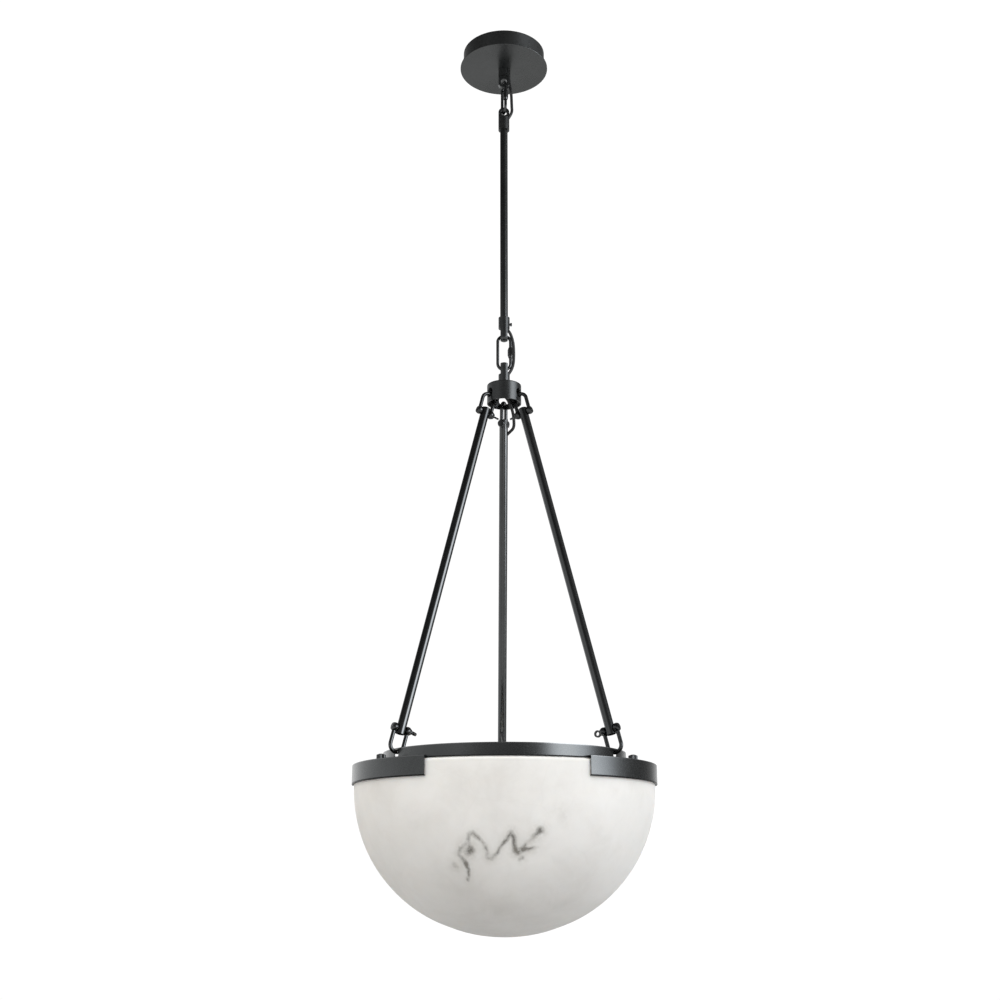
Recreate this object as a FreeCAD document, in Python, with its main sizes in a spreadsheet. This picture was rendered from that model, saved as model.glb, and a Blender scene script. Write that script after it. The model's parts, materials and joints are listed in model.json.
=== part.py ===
import FreeCAD, Part
import math
import os
import Sketcher
from FreeCAD import Vector, Placement, Rotation

# Alabaster bowl pendant.  Millimetres, +Z up.
# Origin: centre of the canopy's top edge, on the ceiling plane.  Everything hangs below it.
# The back rod of the tripod lies on the +Y side; the front gap between rim clamps faces -Y.

doc = FreeCAD.newDocument("bowl_pendant")
sheet = doc.addObject("Spreadsheet::Sheet", "dims")

DIMS = [
    # canopy
    ("drum_rad", 70.7), ("drum_wall", 1.5), ("canopy_depth", 31.3), ("disc_rad", 76.2), ("disc_thick", 3.0),
    ("nipple_rad", 4.9), ("nipple_bore", 3.2), ("nipple_len", 39.5),
    ("bar_len", 112.0), ("bar_wide", 24.0), ("bar_thick", 3.0), ("slot_rad", 2.5), ("slot_long", 16.0), ("slot_pitch", 88.9),
    # eyes, links and stem
    ("eye_rad", 9.5), ("link_wire_rad", 2.5), ("link_bend", 10.5), ("link_straight", 38.5),
    ("link_a_top", -55.6), ("link_b_top", -534.3),
    ("rod_rad", 6.5), ("rod_bore", 4.6), ("stem_top", -131.0), ("stem_foot", -518.2),
    ("coupling_top", -108.6), ("coupling_foot", -151.6), ("collar_rad", 9.3), ("collar_top", -504.3), ("collar_foot", -523.4),
    ("stem_eye_foot", -546.6), ("hub_eye_top", -584.0), ("hub_collar_rad", 9.3), ("hub_collar_top", -605.5),
    # hub cup
    ("hub_rad", 28.0), ("hub_wall", 2.0), ("hub_roof", 3.0), ("hub_top", -623.7), ("hub_foot", -656.0),
    ("hub_hole_rad", 8.0), ("hub_hole_z", -641.1),
    # tripod
    ("pin_up_r", 36.2), ("pin_up_z", -677.6), ("pin_low_r", 175.9), ("pin_low_z", -1191.9), ("rod_past", 7.5), ("leg_rad", 7.1),
    ("bar_rad", 3.0), ("leg_gap", 21.4), ("bow_len", 23.6), ("ear_rad", 6.6), ("ear_thick", 6.6), ("pin_rad", 3.0),
    # ring, clamps, bowl
    ("ring_rad", 183.2), ("ring_wall", 2.0), ("ring_top", -1219.6), ("flange_top", -1240.1), ("flange_thick", 2.0),
    ("flange_out", 221.5), ("flange_in", 168.0), ("ring_hole_rad", 6.8), ("ring_hole_z", -1228.8),
    ("band_rad", 228.6), ("band_wall", 1.5), ("band_foot", -1266.6), ("band_top", -1238.6), ("clamp_in", 196.0), ("lip_in", 223.0),
    ("knob_r", 207.0), ("knob_rad", 6.8), ("knob_high", 10.0), ("stud_rad", 2.45), ("nut_bore", 2.5),
    ("bowl_rim", -1243.6), ("bowl_rad", 225.2), ("bowl_thick", 11.0), ("bowl_foot", -1483.1),
    # lamp
    ("bridge_thick", 2.5), ("cluster_rad", 27.0), ("cluster_high", 36.0), ("lamp_tilt", 15.0), ("lamp_z", -1260.0),
    ("cable_rad", 2.5),
]
for i, (name, value) in enumerate(DIMS):
    sheet.set("A%d" % (i + 1), name)
    sheet.set("B%d" % (i + 1), repr(float(value)))
    sheet.setAlias("B%d" % (i + 1), name)
doc.recompute()


def D(name):
    return float(getattr(sheet, name))


NODES = []          # (label, object) in writing order


def keep(obj, label):
    obj.Label = label
    NODES.append((label, obj))
    return obj


def ex(v):
    """spreadsheet expression for a number or a string that uses aliases"""
    if isinstance(v, (int, float)):
        return repr(float(v))
    out, word = "", ""
    for ch in v + " ":
        if ch.isalnum() or ch == "_":
            word += ch
        else:
            if word and word[0].isalpha():
                word = "dims." + word
            out += word + ch
            word = ""
    return out.strip()


def val(v):
    if isinstance(v, (int, float)):
        return float(v)
    out, word = "", ""
    total = None
    # the expressions are plain sums, so they are read term by term
    terms, sign, cur = [], 1.0, ""
    for ch in v.replace(" ", "") + "+":
        if ch in "+-" and cur:
            terms.append((sign, cur))
            cur = ""
            sign = 1.0 if ch == "+" else -1.0
        elif ch in "+-":
            sign = sign if ch == "+" else -sign
        else:
            cur += ch
    total = 0.0
    for sg, term in terms:
        prod = 1.0
        for k, piece in enumerate(term.split("*")):
            sub = piece.split("/")
            q = None
            for j, a in enumerate(sub):
                x = D(a) if a[0].isalpha() else float(a)
                q = x if q is None else q / x
            prod *= q
        total += sg * prod
    return total


def plane(body, role):
    for f in body.Origin.OriginFeatures:
        if f.Role == role:
            return f
    raise RuntimeError(role)


def profile(body, role, pts, name):
    """closed polyline sketch whose corners are driven by the sheet; pts are (across, up) expressions"""
    sk = body.newObject("Sketcher::SketchObject", name)
    sk.AttachmentSupport = [(plane(body, role), "")]
    sk.MapMode = "FlatFace"
    xy = [(val(a), val(b)) for a, b in pts]
    n = len(xy)
    for i in range(n):
        a, b = xy[i], xy[(i + 1) % n]
        sk.addGeometry(Part.LineSegment(Vector(a[0], a[1], 0), Vector(b[0], b[1], 0)), False)
    for i in range(n):
        sk.addConstraint(Sketcher.Constraint("Coincident", i, 2, (i + 1) % n, 1))
    for i, (a, b) in enumerate(pts):
        if abs(xy[i][0]) < 1e-9:
            sk.addConstraint(Sketcher.Constraint("PointOnObject", i, 1, -2))
        else:
            k = sk.addConstraint(Sketcher.Constraint("DistanceX", -1, 1, i, 1, xy[i][0]))
            if isinstance(a, str):
                sk.setExpression("Constraints[%d]" % k, ex(a))
        if abs(xy[i][1]) < 1e-9:
            sk.addConstraint(Sketcher.Constraint("PointOnObject", i, 1, -1))
        else:
            k = sk.addConstraint(Sketcher.Constraint("DistanceY", -1, 1, i, 1, xy[i][1]))
            if isinstance(b, str):
                sk.setExpression("Constraints[%d]" % k, ex(b))
    return sk


def turned(label, pts, angle=360.0, mid=False):
    """a body turned about Z from a half profile in the XZ plane"""
    body = doc.addObject("PartDesign::Body", label)
    sk = profile(body, "XZ_Plane", pts, label + "_profile")
    rev = body.newObject("PartDesign::Revolution", label + "_turn")
    rev.Profile = sk
    rev.ReferenceAxis = (sk, ["V_Axis"])
    rev.Angle = angle
    rev.Midplane = mid
    body.Tip = rev
    return body


def edges_at(shape, test):
    out = []
    for i, e in enumerate(shape.Edges):
        if test(e):
            out.append("Edge%d" % (i + 1))
    return out


def pd_chamfer(body, base, size, test, kind="PartDesign::Chamfer"):
    doc.recompute()
    names = edges_at(base.Shape, test)
    if not names:
        raise RuntimeError("no edges on " + body.Label)
    f = body.newObject(kind, body.Label + ("_edge%d" % len(body.Group)))
    f.Base = (base, names)
    if kind.endswith("Fillet"):
        f.Radius = size
    else:
        f.Size = size
    body.Tip = f
    doc.recompute()
    return f


def pd_bore(body, role, holes, name, length=None, reverse=False, offset=0.0):
    """round pockets through the body from an origin plane; holes are (x, y, r) expressions"""
    sk = body.newObject("Sketcher::SketchObject", name + "_plan")
    sk.AttachmentSupport = [(plane(body, role), "")]
    sk.MapMode = "FlatFace"
    for i, (x, y, r) in enumerate(holes):
        g = sk.addGeometry(Part.Circle(Vector(val(x), val(y), 0), Vector(0, 0, 1), val(r)), False)
        k = sk.addConstraint(Sketcher.Constraint("Radius", g, val(r)))
        if isinstance(r, str):
            sk.setExpression("Constraints[%d]" % k, ex(r))
        for kind, v, ax in (("DistanceX", x, -2), ("DistanceY", y, -1)):
            if abs(val(v)) < 1e-9:
                sk.addConstraint(Sketcher.Constraint("PointOnObject", g, 3, ax))
            else:
                k = sk.addConstraint(Sketcher.Constraint(kind, -1, 1, g, 3, val(v)))
                if isinstance(v, str):
                    sk.setExpression("Constraints[%d]" % k, ex(v))
    pk = body.newObject("PartDesign::Pocket", name)
    pk.Profile = sk
    pk.Type = 1                      # through all
    pk.Midplane = True
    body.Tip = pk
    doc.recompute()
    return pk


def cyl(label, r, h, base=Vector(0, 0, 0), axis=Vector(0, 0, 1)):
    c = doc.addObject("Part::Cylinder", label)
    c.Radius = val(r)
    c.Height = val(h)
    if isinstance(r, str):
        c.setExpression("Radius", ex(r))
    if isinstance(h, str):
        c.setExpression("Height", ex(h))
    c.Placement = Placement(base, Rotation(Vector(0, 0, 1), axis))
    return c


def box(label, l, w, h, corner):
    b = doc.addObject("Part::Box", label)
    for prop, v in (("Length", l), ("Width", w), ("Height", h)):
        setattr(b, prop, val(v))
        if isinstance(v, str):
            b.setExpression(prop, ex(v))
    b.Placement = Placement(corner, Rotation())
    return b


def ball(label, r, z):
    b = doc.addObject("Part::Sphere", label)
    b.Radius = r
    b.Placement = Placement(Vector(0, 0, z), Rotation())
    return b


def boolean(kind, label, *objs):
    if kind == "Cut":
        f = doc.addObject("Part::Cut", label)
        f.Base, f.Tool = objs
    elif kind == "Common":
        f = doc.addObject("Part::MultiCommon", label)
        f.Shapes = list(objs)
    else:
        f = doc.addObject("Part::MultiFuse", label)
        f.Shapes = list(objs)
    if hasattr(f, "Refine"):
        f.Refine = True
    return f


def feature(label, shape):
    f = doc.addObject("Part::Feature", label)
    f.Shape = shape
    return keep(f, label)


def sweep_round(points_edges, r):
    """round bar of radius r along a wire"""
    w = Part.Wire(points_edges)
    e = w.Edges[0]
    p0 = e.valueAt(e.FirstParameter)
    p1 = e.valueAt(e.LastParameter)
    if w.OrderedVertexes and (w.OrderedVertexes[0].Point - p0).Length > 1e-6:
        p0, t = p1, -e.tangentAt(e.LastParameter)
    else:
        t = e.tangentAt(e.FirstParameter)
    circ = Part.Wire([Part.makeCircle(r, p0, t)])
    s = w.makePipeShell([circ], True, False)
    return s


def unit(az):
    """horizontal direction; az in degrees from the front (-Y), positive towards +X"""
    a = math.radians(az)
    return Vector(math.sin(a), -math.cos(a), 0)


# ---------------------------------------------------------------- canopy
DISC_TOP = "disc_thick-canopy_depth"
drum = turned("canopy_drum", [
    ("drum_rad-drum_wall", 0), ("drum_rad", 0), ("drum_rad", DISC_TOP), ("drum_rad-9", DISC_TOP),
    ("drum_rad-9", DISC_TOP + "+drum_wall"), ("drum_rad-drum_wall", DISC_TOP + "+drum_wall")])
pd_chamfer(drum, drum.Tip, 0.5, lambda e: e.Closed and abs(e.BoundBox.XLength / 2 - D("drum_rad")) < 0.05 and abs(e.BoundBox.ZMax) < 0.05)
keep(drum, "canopy_drum")

disc = turned("canopy_disc", [
    ("nipple_rad+0.3", DISC_TOP), ("disc_rad", DISC_TOP), ("disc_rad", "0-canopy_depth"), ("nipple_rad+0.3", "0-canopy_depth")])
pd_chamfer(disc, disc.Tip, 0.6, lambda e: e.Closed and abs(e.BoundBox.XLength / 2 - D("disc_rad")) < 0.05, "PartDesign::Fillet")
pd_bore(disc, "XY_Plane", [(9.0, 11.0, "cable_rad+0.4")], "disc_cable_hole")
keep(disc, "canopy_disc")

# flat screws that hold the disc to the drum's inner lip, three in one node
sc = []
for k, az in enumerate((30, 150, 270)):
    u = unit(az) * (D("drum_rad") - 5.2)
    sc.append(cyl("disc_screw_head_%d" % k, 2.8, 1.6, Vector(u.x, u.y, val(DISC_TOP) + D("drum_wall"))))
keep(boolean("Fuse", "disc_screws", *sc), "disc_screws")

# crossbar that the outlet box carries: two slots for box screws, a tapped centre hole
bar = doc.addObject("PartDesign::Body", "ceiling_crossbar")
sk = profile(bar, "XY_Plane", [("0-bar_len/2", "0-bar_wide/2"), ("bar_len/2", "0-bar_wide/2"), ("bar_len/2", "bar_wide/2"), ("0-bar_len/2", "bar_wide/2")], "bar_plan")
pad = bar.newObject("PartDesign::Pad", "bar_pad")
pad.Profile = sk
pad.Length = D("bar_thick")
pad.setExpression("Length", "dims.bar_thick")
pad.Reversed = True
bar.Tip = pad
doc.recompute()
pd_chamfer(bar, pad, 3.0, lambda e: abs(e.BoundBox.ZLength - D("bar_thick")) < 1e-6 and e.BoundBox.XLength < 1e-6, "PartDesign::Fillet")
pd_bore(bar, "XY_Plane", [(0, 0, "nipple_rad+0.05"), (20.0, 0, 1.7)], "bar_round_holes")
for sgn, nm in ((1, "right"), (-1, "left")):
    s = bar.newObject("Sketcher::SketchObject", "bar_slot_%s_plan" % nm)
    s.AttachmentSupport = [(plane(bar, "XY_Plane"), "")]
    s.MapMode = "FlatFace"
    cx, r, hl = sgn * D("slot_pitch") / 2, D("slot_rad"), D("slot_long") / 2 - D("slot_rad")
    s.addGeometry(Part.LineSegment(Vector(cx - hl, r, 0), Vector(cx + hl, r, 0)), False)
    s.addGeometry(Part.ArcOfCircle(Part.Circle(Vector(cx + hl, 0, 0), Vector(0, 0, 1), r), -math.pi / 2, math.pi / 2), False)
    s.addGeometry(Part.LineSegment(Vector(cx + hl, -r, 0), Vector(cx - hl, -r, 0)), False)
    s.addGeometry(Part.ArcOfCircle(Part.Circle(Vector(cx - hl, 0, 0), Vector(0, 0, 1), r), math.pi / 2, 3 * math.pi / 2), False)
    p = bar.newObject("PartDesign::Pocket", "bar_slot_" + nm)
    p.Profile = s
    p.Type = 1
    p.Midplane = True
    bar.Tip = p
    doc.recompute()
keep(bar, "ceiling_crossbar")

# nipple: hollow threaded tube, modelled at its mean thread radius
nip = turned("canopy_nipple", [("nipple_bore", 0), ("nipple_rad", 0), ("nipple_rad", "0-nipple_len"), ("nipple_bore", "0-nipple_len")])
keep(nip, "canopy_nipple")


def hexnut(label, across, bore, z0, high, extra=None):
    r = across / math.sqrt(3)
    pts = [Vector(r * math.cos(math.radians(60 * i)), r * math.sin(math.radians(60 * i)), z0) for i in range(6)]
    s = Part.Face(Part.makePolygon(pts + [pts[0]])).extrude(Vector(0, 0, high))
    s = s.cut(Part.makeCylinder(bore, high + 2, Vector(0, 0, z0 - 1)))
    cone = Part.makeCone(across / 2 + high + 0.9, across / 2 - 0.1 + 0.9, high, Vector(0, 0, z0))
    s = s.common(cone) if extra is None else s
    return s


feature("nipple_nut", hexnut("nipple_nut", 14.0, D("nipple_rad") + 0.02, -D("bar_thick") - 4.5, 4.5))
gs = [cyl("ground_shank", 1.65, "bar_thick", Vector(20.0, 0, -D("bar_thick"))), cyl("ground_head", 3.4, 2.2, Vector(20.0, 0, -D("bar_thick") - 2.2))]
keep(boolean("Fuse", "ground_screw", *gs), "ground_screw")


# ---------------------------------------------------------------- eyes
def eye(label, rad, z_root, z_tip, thick, axis, hole_z, hole_r, z_end):
    """round collar from z_end to z_root with a flat-sided eye from z_root to z_tip; the hole runs along axis"""
    up = z_tip > z_root
    lo, hi = min(z_root, z_end), max(z_root, z_end)
    collar = cyl(label + "_collar", rad, hi - lo, Vector(0, 0, lo))
    tl, th = min(z_root, z_tip), max(z_root, z_tip)
    stem = cyl(label + "_blank", rad, th - tl + 1.0, Vector(0, 0, tl - (0 if not up else 1.0)))
    r = val(rad)
    if axis == "Y":
        slab = box(label + "_slab", 2 * r + 2, thick, th - tl + 3, Vector(-r - 1, -thick / 2, tl - 1.5))
    else:
        slab = box(label + "_slab", thick, 2 * r + 2, th - tl + 3, Vector(-thick / 2, -r - 1, tl - 1.5))
    flat = boolean("Common", label + "_flat", stem, slab)
    # round the tip about the hole
    ax = Vector(0, 1, 0) if axis == "Y" else Vector(1, 0, 0)
    tip_r = abs(z_tip - hole_z)
    if axis == "Y":
        rnd = cyl(label + "_round", tip_r, 60.0, Vector(0, 0, hole_z) - ax * 30, ax)
    else:
        rnd = ball(label + "_round", math.hypot(tip_r, 2.2), hole_z)
    below = box(label + "_keep", 60, 60, abs(z_root - hole_z) + 6, Vector(-30, -30, hole_z if not up else hole_z - abs(z_root - hole_z) - 6))
    window = boolean("Fuse", label + "_window", rnd, below)
    flat2 = boolean("Common", label + "_tip", flat, window)
    whole = boolean("Fuse", label + "_whole", collar, flat2)
    hole = cyl(label + "_hole", hole_r, 60.0, Vector(0, 0, hole_z) - ax * 30, ax)
    cut = boolean("Cut", label + "_eyed", whole, hole)
    if axis == "X":
        # the hole opens out at both faces, so that the round wire can lean in it
        for k, way in enumerate((1.0, -1.0)):
            c = doc.addObject("Part::Cone", label + "_flare_%d" % k)
            c.Radius1, c.Radius2, c.Height = hole_r, hole_r + 2.4, 3.6
            c.Placement = Placement(Vector(way * (thick / 2 - 3.5), 0, hole_z), Rotation(Vector(0, 0, 1), Vector(way, 0, 0)))
            cut = boolean("Cut", label + "_flared_%d" % k, cut, c)
    return cut


# canopy hang loop, screwed on the nipple under the disc
zt = -D("canopy_depth")
loop = eye("hang_loop", "eye_rad", zt - 15.0, -67.8, 8.0, "Y", -57.0, 5.5, zt)
loop = boolean("Cut", "hang_loop_body", loop, cyl("hang_loop_tap", "nipple_rad+0.02", 9.0, Vector(0, 0, zt - 8.5)))
keep(loop, "hang_loop")


# ---------------------------------------------------------------- quick links
def link(label, z_top, az):
    """oval wire link whose outer top is at z_top, its plane turned az degrees from the XZ plane"""
    rw, rb, st = D("link_wire_rad"), D("link_bend"), D("link_straight")
    c1 = z_top - rw - rb
    c2 = c1 - st
    u = Vector(math.cos(math.radians(az)), math.sin(math.radians(az)), 0)

    def P(s, z):
        return Vector(u.x * s, u.y * s, z)
    gap_top, gap_foot = c1 - 9.5, c2 + 9.5          # the threaded opening sits on the +u leg, under the sleeve
    edges = [
        Part.LineSegment(P(rb, gap_foot + 9.0), P(rb, c2)).toShape(),
        Part.Arc(P(rb, c2), P(0, c2 - rb), P(-rb, c2)).toShape(),
        Part.LineSegment(P(-rb, c2), P(-rb, c1)).toShape(),
        Part.Arc(P(-rb, c1), P(0, c1 + rb), P(rb, c1)).toShape(),
        Part.LineSegment(P(rb, c1), P(rb, gap_top - 5.5)).toShape(),
    ]
    w = sweep_round(edges, rw)
    # sleeve: hexagonal nut that closes the opening
    mid = (gap_top + gap_foot) / 2
    half = 9.0
    ac = 4.1
    pts = [P(rb, mid - half) + Vector(ac * 1.1547 * math.cos(math.radians(60 * i + az)), ac * 1.1547 * math.sin(math.radians(60 * i + az)), 0) for i in range(6)]
    nut = Part.Face(Part.makePolygon(pts + [pts[0]])).extrude(Vector(0, 0, 2 * half))
    top = Part.makeCone(ac + 0.8, ac - 0.7, 5.0, P(rb, mid + half - 5.0))
    mid_c = Part.makeCylinder(ac + 0.8, 2 * half - 10.0, P(rb, mid - half + 5.0))
    low = Part.makeCone(ac - 0.7, ac + 0.8, 5.0, P(rb, mid - half))
    nut = nut.common(top.fuse([mid_c, low]))
    nut = nut.cut(Part.makeCylinder(rw + 0.05, 2 * half + 2, P(rb, mid - half - 1)))
    return w, nut, mid, half, P(rb, mid)


UP_AZ = -75.0     # near leg to the right of the axis, seen from the front
wa, na, ma, ha, pa = link("upper_link", D("link_a_top"), UP_AZ)
feature("upper_link", wa)
feature("upper_link_sleeve", na)
wb, nb, mb, hb, pb = link("lower_link", D("link_b_top"), 0.0)
feature("lower_link", wb)
feature("lower_link_sleeve", nb)
print("sleeve centres", [round(v, 3) for v in pa], [round(v, 3) for v in pb])

# ---------------------------------------------------------------- stem
cp = eye("stem_coupling", "eye_rad", -128.0, D("coupling_top"), 8.0, "Y", -118.4, 5.5, D("coupling_foot"))
cp_tools = boolean("Fuse", "coupling_cuts",
                   cyl("coupling_rod_bore", "rod_rad+0.03", D("stem_top") - D("coupling_foot") + 6.0, Vector(0, 0, D("coupling_foot") - 1.0)),
                   cyl("coupling_cable_way", "cable_rad+0.5", 30.0, Vector(0, 0, -140.0), Vector(0.5299, 0, 0.848)),
                   cyl("coupling_cable_well", "cable_rad+0.9", 8.0, Vector(0, 0, -146.0)), ball("coupling_cable_turn", 4.2, -140.0))
keep(boolean("Cut", "stem_coupling_body", cp, cp_tools), "stem_coupling")

rod = turned("stem_rod", [("rod_bore", "stem_top-7"), ("rod_rad", "stem_top-7"), ("rod_rad", "stem_foot"), ("rod_bore", "stem_foot")])
keep(rod, "stem_rod")

cl = eye("stem_collar", "collar_rad", D("collar_foot") - 0.0, D("stem_eye_foot"), 12.0, "X", -535.9, 5.6, D("collar_top"))
cl_tools = boolean("Fuse", "collar_cuts",
                   cyl("collar_rod_bore", "rod_rad+0.03", D("collar_top") - D("stem_foot") + 1.0, Vector(0, 0, D("stem_foot"))),
                   cyl("collar_cable_well", "cable_rad+0.7", 4.0, Vector(0, 0, D("stem_foot") - 3.5)), ball("collar_cable_turn", 4.4, -519.0),
                   cyl("collar_cable_way", "cable_rad+0.5", 32.0, Vector(0, 0, -519.5), Vector(0.6925, 0, -0.7214)),
                   cyl("collar_screw_tap", 1.5, 4.0, Vector(6.6, 0, -516.0), Vector(1, 0, 0)))
keep(boolean("Cut", "stem_collar_body", cl, cl_tools), "stem_collar")


def thumb_screw(label, foot, length, head_r, head_h):
    a = cyl(label + "_shank", 1.45, length, foot, Vector(1, 0, 0))
    b = cyl(label + "_neck", head_r * 0.62, 1.0, foot + Vector(length - 0.2, 0, 0), Vector(1, 0, 0))
    c = cyl(label + "_head", head_r, head_h, foot + Vector(length + 0.6, 0, 0), Vector(1, 0, 0))
    return keep(boolean("Fuse", label + "_body", a, b, c), label)


thumb_screw("stem_collar_screw", Vector(6.7, 0, -516.0), 2.9, 2.9, 2.9)

# ---------------------------------------------------------------- hub
he = eye("hub_eye", "hub_collar_rad", D("hub_collar_top"), D("hub_eye_top"), 12.0, "X", -596.9, 5.3, D("hub_top"))
he = boolean("Fuse", "hub_eye_with_tail", he, cyl("hub_eye_tail", 4.9, 14.0, Vector(0, 0, D("hub_top") - 14.0)))
he_tools = boolean("Fuse", "hub_eye_cuts",
                   cyl("hub_eye_bore", "cable_rad+0.5", 27.5, Vector(0, 0, D("hub_top") - 15.0)), ball("hub_cable_turn", 4.3, -613.9),
                   cyl("hub_eye_way", "cable_rad+0.5", 34.0, Vector(0, 0, -613.5), Vector(0.600, 0, 0.800)),
                   cyl("hub_eye_tap", 1.5, 4.0, Vector(7.3, 0, -617.6), Vector(1, 0, 0)))
he_well = boolean("Cut", "hub_eye_body", he, he_tools)
keep(he_well, "hub_eye")
thumb_screw("hub_eye_screw", Vector(7.4, 0, -617.6), 2.2, 2.2, 2.3)

hub = turned("hub_cup_blank", [
    (5.0, "hub_top"), ("hub_rad", "hub_top"), ("hub_rad", "hub_foot"), ("hub_rad-hub_wall", "hub_foot"),
    ("hub_rad-hub_wall", "hub_top-hub_roof"), (5.0, "hub_top-hub_roof")])
pd_chamfer(hub, hub.Tip, 2.0, lambda e: e.Closed and abs(e.BoundBox.XLength / 2 - D("hub_rad")) < 0.05 and abs(e.BoundBox.ZMax - D("hub_top")) < 0.05, "PartDesign::Fillet")
AZ3 = (-60.0, 60.0, 180.0)
for k, az in enumerate(AZ3):
    # each wall hole is drilled from its own plane, set square to the wall
    pass
tools = [cyl("hub_drill_%d" % k, "hub_hole_rad", 22.0, Vector(0, 0, D("hub_hole_z")) + unit(az) * 14.0, unit(az)) for k, az in enumerate(AZ3)]
hubc = boolean("Cut", "hub_cup_drilled", hub, boolean("Fuse", "hub_drills", *tools))
keep(hubc, "hub_cup")
feature("hub_nut", hexnut("hub_nut", 16.0, 4.92, D("hub_top") - D("hub_roof") - 5.0, 5.0))

# ---------------------------------------------------------------- tripod: shackles, pins and rods
PU_R, PU_Z, PL_R, PL_Z = D("pin_up_r"), D("pin_up_z"), D("pin_low_r"), D("pin_low_z")
LEAN = math.atan2(PL_R - PU_R, PU_Z - PL_Z)
ZED = Vector(0, 0, 1)
TURN = {-60.0: 0.0, 60.0: 0.0, 180.0: math.radians(20.0)}      # the back rod stands turned in its shackles
EYE_SIDE = {-60.0: -1.0, 60.0: -1.0, 180.0: 1.0}


def frame_of(az):
    u = unit(az)
    down = u * math.sin(LEAN) - ZED * math.cos(LEAN)
    out = u * math.cos(LEAN) + ZED * math.sin(LEAN)
    side = down.cross(out)
    t = TURN[az]
    out2 = out * math.cos(t) + side * math.sin(t)
    return u, down, out2, down.cross(out2)


def solid_cyl(c, axis, r, length):
    return Part.makeCylinder(r, length, c - axis * (length / 2), axis)


EAR_OUT = 4.2        # how far an ear stands out from its leg, away from the rod


def shackle(P, bow, out):
    g = D("leg_gap") / 2
    L = D("bow_len")
    a, b = P + out * g, P - out * g
    ea, eb = a + bow * (D("ear_rad") - 2.5), b + bow * (D("ear_rad") - 2.5)
    edges = [Part.LineSegment(ea, a + bow * L).toShape(),
             Part.Arc(a + bow * L, P + bow * (L + g), b + bow * L).toShape(),
             Part.LineSegment(b + bow * L, eb).toShape()]
    w = sweep_round(edges, D("bar_rad"))
    ears = []
    for c, away in ((a, out), (b, out * -1.0)):
        dome = Part.makeSphere(D("ear_rad"), c)
        ears.append(dome.common(Part.makeCylinder(D("ear_rad") + 1.0, D("ear_thick") / 2 + EAR_OUT, c - away * (D("ear_thick") / 2), away)))
    s = w.fuse(ears)
    s = s.cut(solid_cyl(P, out, D("pin_rad") + 0.05, D("leg_gap") + 30))
    return s.removeSplitter()


def shackle_pin(P, bow, out, side, flat):
    g = D("leg_gap") / 2
    et = EAR_OUT
    o = out * side
    r = D("pin_rad")
    start = P - o * (g + et + 0.5)
    length = 2 * (g + et) + 0.5 + 1.5
    body = Part.makeCylinder(r, length, start, o)
    collar = Part.makeCylinder(r + 1.4, 1.3, P + o * (g + et + 0.15), o)
    ec = P + o * (g + et + 1.4 + 4.5)
    q = out.cross(bow)
    if flat:
        # a screwed pin stops where its thread ends: this eye lies nearly level
        q = o.cross(Vector(0, 0.934, 0.358))
        q.normalize()
    ring = solid_cyl(ec, q, 5.3, 3.0)
    hole = solid_cyl(ec, q, 2.8, 6.0)
    s = body.fuse([collar, ring]).cut(hole)
    return s.removeSplitter()


shackles_up, shackles_low, pins_up, pins_low = [], [], [], []
names = {-60.0: "left", 60.0: "right", 180.0: "back"}
for az in AZ3:
    u, down, out, side = frame_of(az)
    PU = u * PU_R + ZED * PU_Z
    PL = u * PL_R + ZED * PL_Z
    shackles_up.append(shackle(PU, -down, out))
    shackles_low.append(shackle(PL, down, out))
    pins_up.append(shackle_pin(PU, -down, out, EYE_SIDE[az], az != 180.0))
    pins_low.append(shackle_pin(PL, down, out, EYE_SIDE[az], az == -60.0))
    top = PU - down * D("rod_past")
    length = (PL - PU).Length + 2 * D("rod_past")
    nm = "rod_" + names[az]
    tube = cyl(nm + "_tube", "leg_rad", length, top, down)
    cuts = [cyl(nm + "_bore", "rod_bore", length + 2, top - down, down),
            cyl(nm + "_hole_up", "pin_rad+0.1", 30.0, PU - out * 15, out),
            cyl(nm + "_hole_low", "pin_rad+0.1", 30.0, PL - out * 15, out)]
    if az == 180.0:
        Q0 = u * (PU_R + 22.4 * math.tan(LEAN)) + ZED * (PU_Z - 22.4)
        QE = Vector(0.72, -0.08, 0.69).normalize()
        cuts.append(cyl(nm + "_cable_in", "cable_rad+0.4", 14.0, Q0, QE))
        Q1 = u * (PL_R - 26.0 * math.tan(LEAN)) + ZED * (PL_Z + 26.0)
        QF = Vector(0.0, -0.80, -0.60).normalize()
        cuts.append(cyl(nm + "_cable_out", "cable_rad+0.4", 16.0, Q1, QF))
        BACK = (PU, PL, down, Q0, QE, Q1, QF)
    keep(boolean("Cut", nm + "_body", tube, boolean("Fuse", nm + "_cuts", *cuts)), nm)
feature("upper_shackles", Part.makeCompound(shackles_up))
feature("lower_shackles", Part.makeCompound(shackles_low))
feature("upper_shackle_pins", Part.makeCompound(pins_up))
feature("lower_shackle_pins", Part.makeCompound(pins_low))

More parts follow.
